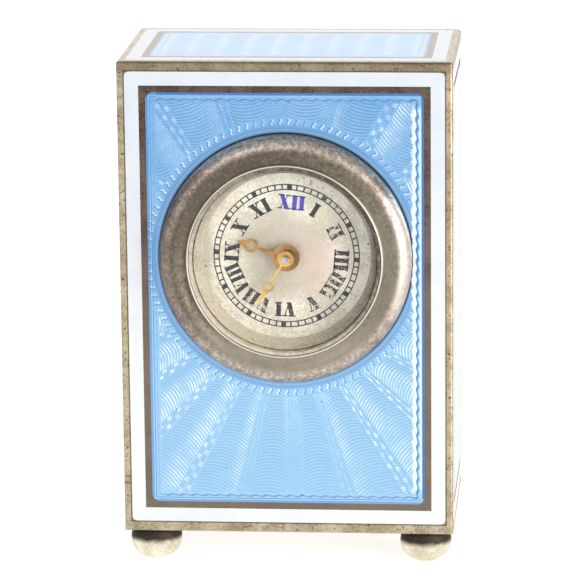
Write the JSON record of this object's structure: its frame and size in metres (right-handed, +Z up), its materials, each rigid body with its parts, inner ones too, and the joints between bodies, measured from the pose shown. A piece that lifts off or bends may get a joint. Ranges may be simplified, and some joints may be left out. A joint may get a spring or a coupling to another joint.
{
  "type": "pendulette clock",
  "caption": "Small silver desk clock with blue and white enamel panels, a round glazed dial, bun feet and a hinged rear door over a key-wound movement.",
  "frame": {"origin": "on the table, under the middle of the clock's bounding box", "axes": "+Z up, -Y towards the dial's viewer, +X to the right of the dial"},
  "size_m": [0.034, 0.0244, 0.0527],
  "materials": {
    "case_silver": "worn silver",
    "bezel_silver": "tarnished silver",
    "foot_silver": "polished silver",
    "white_enamel": "opaque enamel",
    "blue_enamel": "translucent enamel over engine turning",
    "dial_silver": "silvered, matt",
    "crystal": "bevelled",
    "gilt": "gilt",
    "copper_gilt": "rose gilt",
    "movement_brass": "gilt",
    "steel": "polished",
    "blued_steel": "blued",
    "ruby": "polished"
  },
  "bodies": {
    "case": {"case_shell": "case_silver", "base_plate": "case_silver", "front_left_foot": "foot_silver", "front_right_foot": "foot_silver", "rear_left_foot": "foot_silver", "rear_right_foot": "foot_silver", "front_plaque": "case_silver", "front_white_enamel": "white_enamel", "front_blue_enamel": "blue_enamel", "top_plaque": "case_silver", "top_white_enamel": "white_enamel", "top_blue_enamel": "blue_enamel", "left_plaque": "case_silver", "left_white_enamel": "white_enamel", "left_blue_enamel": "blue_enamel", "right_plaque": "case_silver", "right_white_enamel": "white_enamel", "right_blue_enamel": "blue_enamel", "bezel": "bezel_silver", "glass": "crystal", "glass_ring": "bezel_silver", "dial": "dial_silver", "dial_ring": "movement_brass", "main_plate": "movement_brass", "back_plate": "movement_brass", "pillars": "movement_brass", "movement_clamps": "steel", "movement_screws": "blued_steel", "pallet_bridge": "movement_brass", "balance_cock": "movement_brass", "end_cap": "ruby", "click_spring": "steel", "door_hinge_pin": "steel", "door_catch": "steel"},
    "door": {"rear_door": "case_silver"},
    "minute_hand": {"minute_hand": "gilt", "cannon_pinion": "steel", "setting_arbor": "steel", "setting_knob": "gilt"},
    "hour_hand": {"hour_hand": "copper_gilt", "hour_wheel": "movement_brass"},
    "minute_wheel": {"minute_wheel": "movement_brass"},
    "centre_wheel": {"centre_wheel": "movement_brass"},
    "third_wheel": {"third_wheel": "movement_brass"},
    "fourth_wheel": {"fourth_wheel": "movement_brass"},
    "escape_wheel": {"escape_wheel": "steel"},
    "barrel": {"barrel": "movement_brass", "barrel_cover": "movement_brass", "mainspring": "blued_steel"},
    "winding": {"barrel_arbor": "steel", "ratchet_wheel": "steel", "winding_key": "gilt"},
    "key_bow": {"key_bow": "gilt"},
    "click": {"click": "steel"},
    "balance": {"balance_wheel": "gilt", "balance_staff": "steel", "hairspring": "blued_steel"},
    "pallet_fork": {"pallet_fork": "steel"},
    "regulator": {"regulator": "steel"}
  },
  "joints": [
    {"name": "minute_hand_turn", "type": "hinge", "parent": "case", "child": "minute_hand", "pos_m": [0, -0.00985, 0.0325], "axis": [0, 1, 0], "continuous": true},
    {"name": "hour_hand_turn", "type": "hinge", "parent": "case", "child": "hour_hand", "pos_m": [0, -0.00985, 0.0325], "axis": [0, 1, 0], "continuous": true},
    {"name": "minute_wheel_turn", "type": "hinge", "parent": "case", "child": "minute_wheel", "pos_m": [0.00303, -0.00735, 0.0336], "axis": [0, 1, 0], "continuous": true},
    {"name": "fourth_wheel_turn", "type": "hinge", "parent": "case", "child": "fourth_wheel", "pos_m": [0.00315, -0.00285, 0.02813], "axis": [0, 1, 0], "continuous": true},
    {"name": "third_wheel_turn", "type": "hinge", "parent": "case", "child": "third_wheel", "pos_m": [-0.00096, -0.00285, 0.02799], "axis": [0, 1, 0], "continuous": true},
    {"name": "centre_wheel_turn", "type": "hinge", "parent": "case", "child": "centre_wheel", "pos_m": [0, -0.00285, 0.0325], "axis": [0, 1, 0], "continuous": true},
    {"name": "barrel_turn", "type": "hinge", "parent": "case", "child": "barrel", "pos_m": [-0.00429, -0.00385, 0.03761], "axis": [0, 1, 0], "continuous": true},
    {"name": "escape_wheel_turn", "type": "hinge", "parent": "case", "child": "escape_wheel", "pos_m": [0.00684, -0.00285, 0.02963], "axis": [0, 1, 0], "continuous": true},
    {"name": "pallet_fork_swing", "type": "hinge", "parent": "case", "child": "pallet_fork", "pos_m": [0.00735, -0.00285, 0.03247], "axis": [0, 1, 0], "range_deg": [-4, 4]},
    {"name": "balance_swing", "type": "hinge", "parent": "case", "child": "balance", "pos_m": [0.00788, 0.00015, 0.03552], "axis": [0, 1, 0], "range_deg": [-270, 270], "stiffness_Nm_per_rad": 0.00000022, "deforming": ["hairspring"]},
    {"name": "regulator_turn", "type": "hinge", "parent": "case", "child": "regulator", "pos_m": [0.00788, 0.00215, 0.03552], "axis": [0, 1, 0], "range_deg": [-15, 15]},
    {"name": "winding_turn", "type": "hinge", "parent": "case", "child": "winding", "pos_m": [-0.00429, 0.00115, 0.03761], "axis": [0, 1, 0], "continuous": true},
    {"name": "key_bow_fold", "type": "hinge", "parent": "winding", "child": "key_bow", "pos_m": [-0.00429, 0.00461, 0.03761], "axis": [0.1736, 0, -0.9848], "range_deg": [0, 90]},
    {"name": "click_lift", "type": "hinge", "parent": "case", "child": "click", "pos_m": [-0.00046, 0.00135, 0.04082], "axis": [0, 1, 0], "range_deg": [0, 10], "stiffness_Nm_per_rad": 0.000002, "deforming": ["click_spring"]},
    {"name": "door_swing", "type": "hinge", "parent": "case", "child": "door", "pos_m": [0.01615, 0.0115, 0.0281], "axis": [0, 0, -1], "range_deg": [0, 105]}
  ],
  "couplings": [
    {"joint": "minute_wheel_turn", "follows": "minute_hand_turn", "ratio": -0.33333},
    {"joint": "hour_hand_turn", "follows": "minute_hand_turn", "ratio": 0.083333},
    {"joint": "third_wheel_turn", "follows": "fourth_wheel_turn", "ratio": -0.125},
    {"joint": "centre_wheel_turn", "follows": "fourth_wheel_turn", "ratio": 0.016667},
    {"joint": "barrel_turn", "follows": "fourth_wheel_turn", "ratio": -0.0027778},
    {"joint": "escape_wheel_turn", "follows": "fourth_wheel_turn", "ratio": -10}
  ]
}
